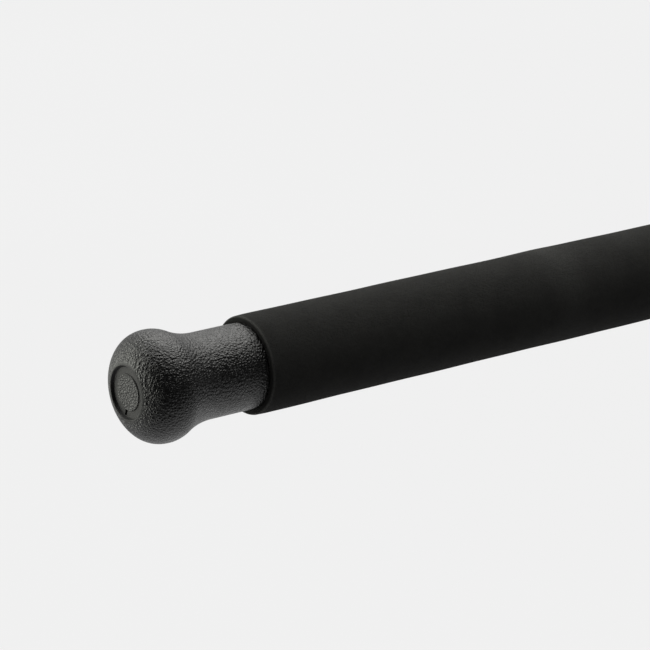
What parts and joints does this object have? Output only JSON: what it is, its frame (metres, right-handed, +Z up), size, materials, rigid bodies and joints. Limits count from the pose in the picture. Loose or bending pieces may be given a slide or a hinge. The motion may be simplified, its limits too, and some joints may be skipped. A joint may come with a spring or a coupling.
{
  "type": "swing trainer stick",
  "caption": "Telescopic golf swing trainer stick: foam grips on a twist-locked tube, a bulb-shaped knob at each end and a steel weight inside the tip.",
  "frame": {"origin": "centre of the flat end disc in the handle knob", "axes": "+X along the stick from the handle to the tip, +Z up as the stick lies, +Y across it"},
  "size_m": [0.6514, 0.038, 0.038],
  "materials": {
    "grained_plastic": "black moulded plastic with a fine leather grain",
    "disc_plastic": "black moulded plastic with a rough texture",
    "eva_foam": "black closed-cell foam rubber with fine open pores",
    "black_anodised": "black anodised drawn tube",
    "satin_aluminium": "satin clear anodised drawn tube",
    "lock_plastic": "black glass-filled nylon",
    "stop_plastic": "dark grey moulded nylon",
    "acetal": "natural white acetal",
    "soft_rubber": "black soft moulded rubber",
    "zinc_steel": "zinc plated steel",
    "black_steel": "black oxide steel",
    "rivet_steel": "plain steel pins and rivets",
    "raw_steel": "turned steel bar"
  },
  "bodies": {
    "handle": {"handle_knob": "grained_plastic", "handle_end_disc": "disc_plastic", "handle_knob_washer": "zinc_steel", "handle_knob_screw": "black_steel", "handle_wedge_nut": "zinc_steel", "handle_grip": "eva_foam", "handle_tube": "black_anodised", "lock_collar": "lock_plastic", "lock_rivet_1": "rivet_steel", "lock_rivet_2": "rivet_steel", "lock_collet": "acetal"},
    "thrust_washer": {"lock_thrust_washer": "zinc_steel"},
    "twist_nut": {"lock_nut": "lock_plastic", "lock_nut_grip": "soft_rubber", "lock_dust_ring": "soft_rubber"},
    "glide": {"extension_glide": "acetal"},
    "extension": {"extension_stop": "stop_plastic", "stop_pin_1": "rivet_steel", "stop_pin_2": "rivet_steel", "extension_tube": "satin_aluminium", "weight_plug": "acetal", "tip_weight": "raw_steel", "weight_pad": "soft_rubber", "tip_grip": "eva_foam", "tip_knob": "grained_plastic", "tip_end_disc": "disc_plastic", "tip_knob_washer": "zinc_steel", "tip_knob_screw": "black_steel", "tip_wedge_nut": "zinc_steel"}
  },
  "joints": [
    {"name": "nut_advance", "type": "slide", "parent": "handle", "child": "thrust_washer", "axis": [1, 0, 0], "range_m": [0, 0.001]},
    {"name": "nut_turn", "type": "hinge", "parent": "thrust_washer", "child": "twist_nut", "pos_m": [0.44, 0, 0], "axis": [1, 0, 0], "range_deg": [0, 120]},
    {"name": "extension_slide", "type": "slide", "parent": "handle", "child": "glide", "axis": [1, 0, 0], "range_m": [0, 0.3]},
    {"name": "extension_swivel", "type": "hinge", "parent": "glide", "child": "extension", "pos_m": [0.1215, 0, 0], "axis": [1, 0, 0], "continuous": true}
  ],
  "couplings": [
    {"joint": "nut_advance", "follows": "nut_turn", "m_per_rad": 0.000477}
  ]
}
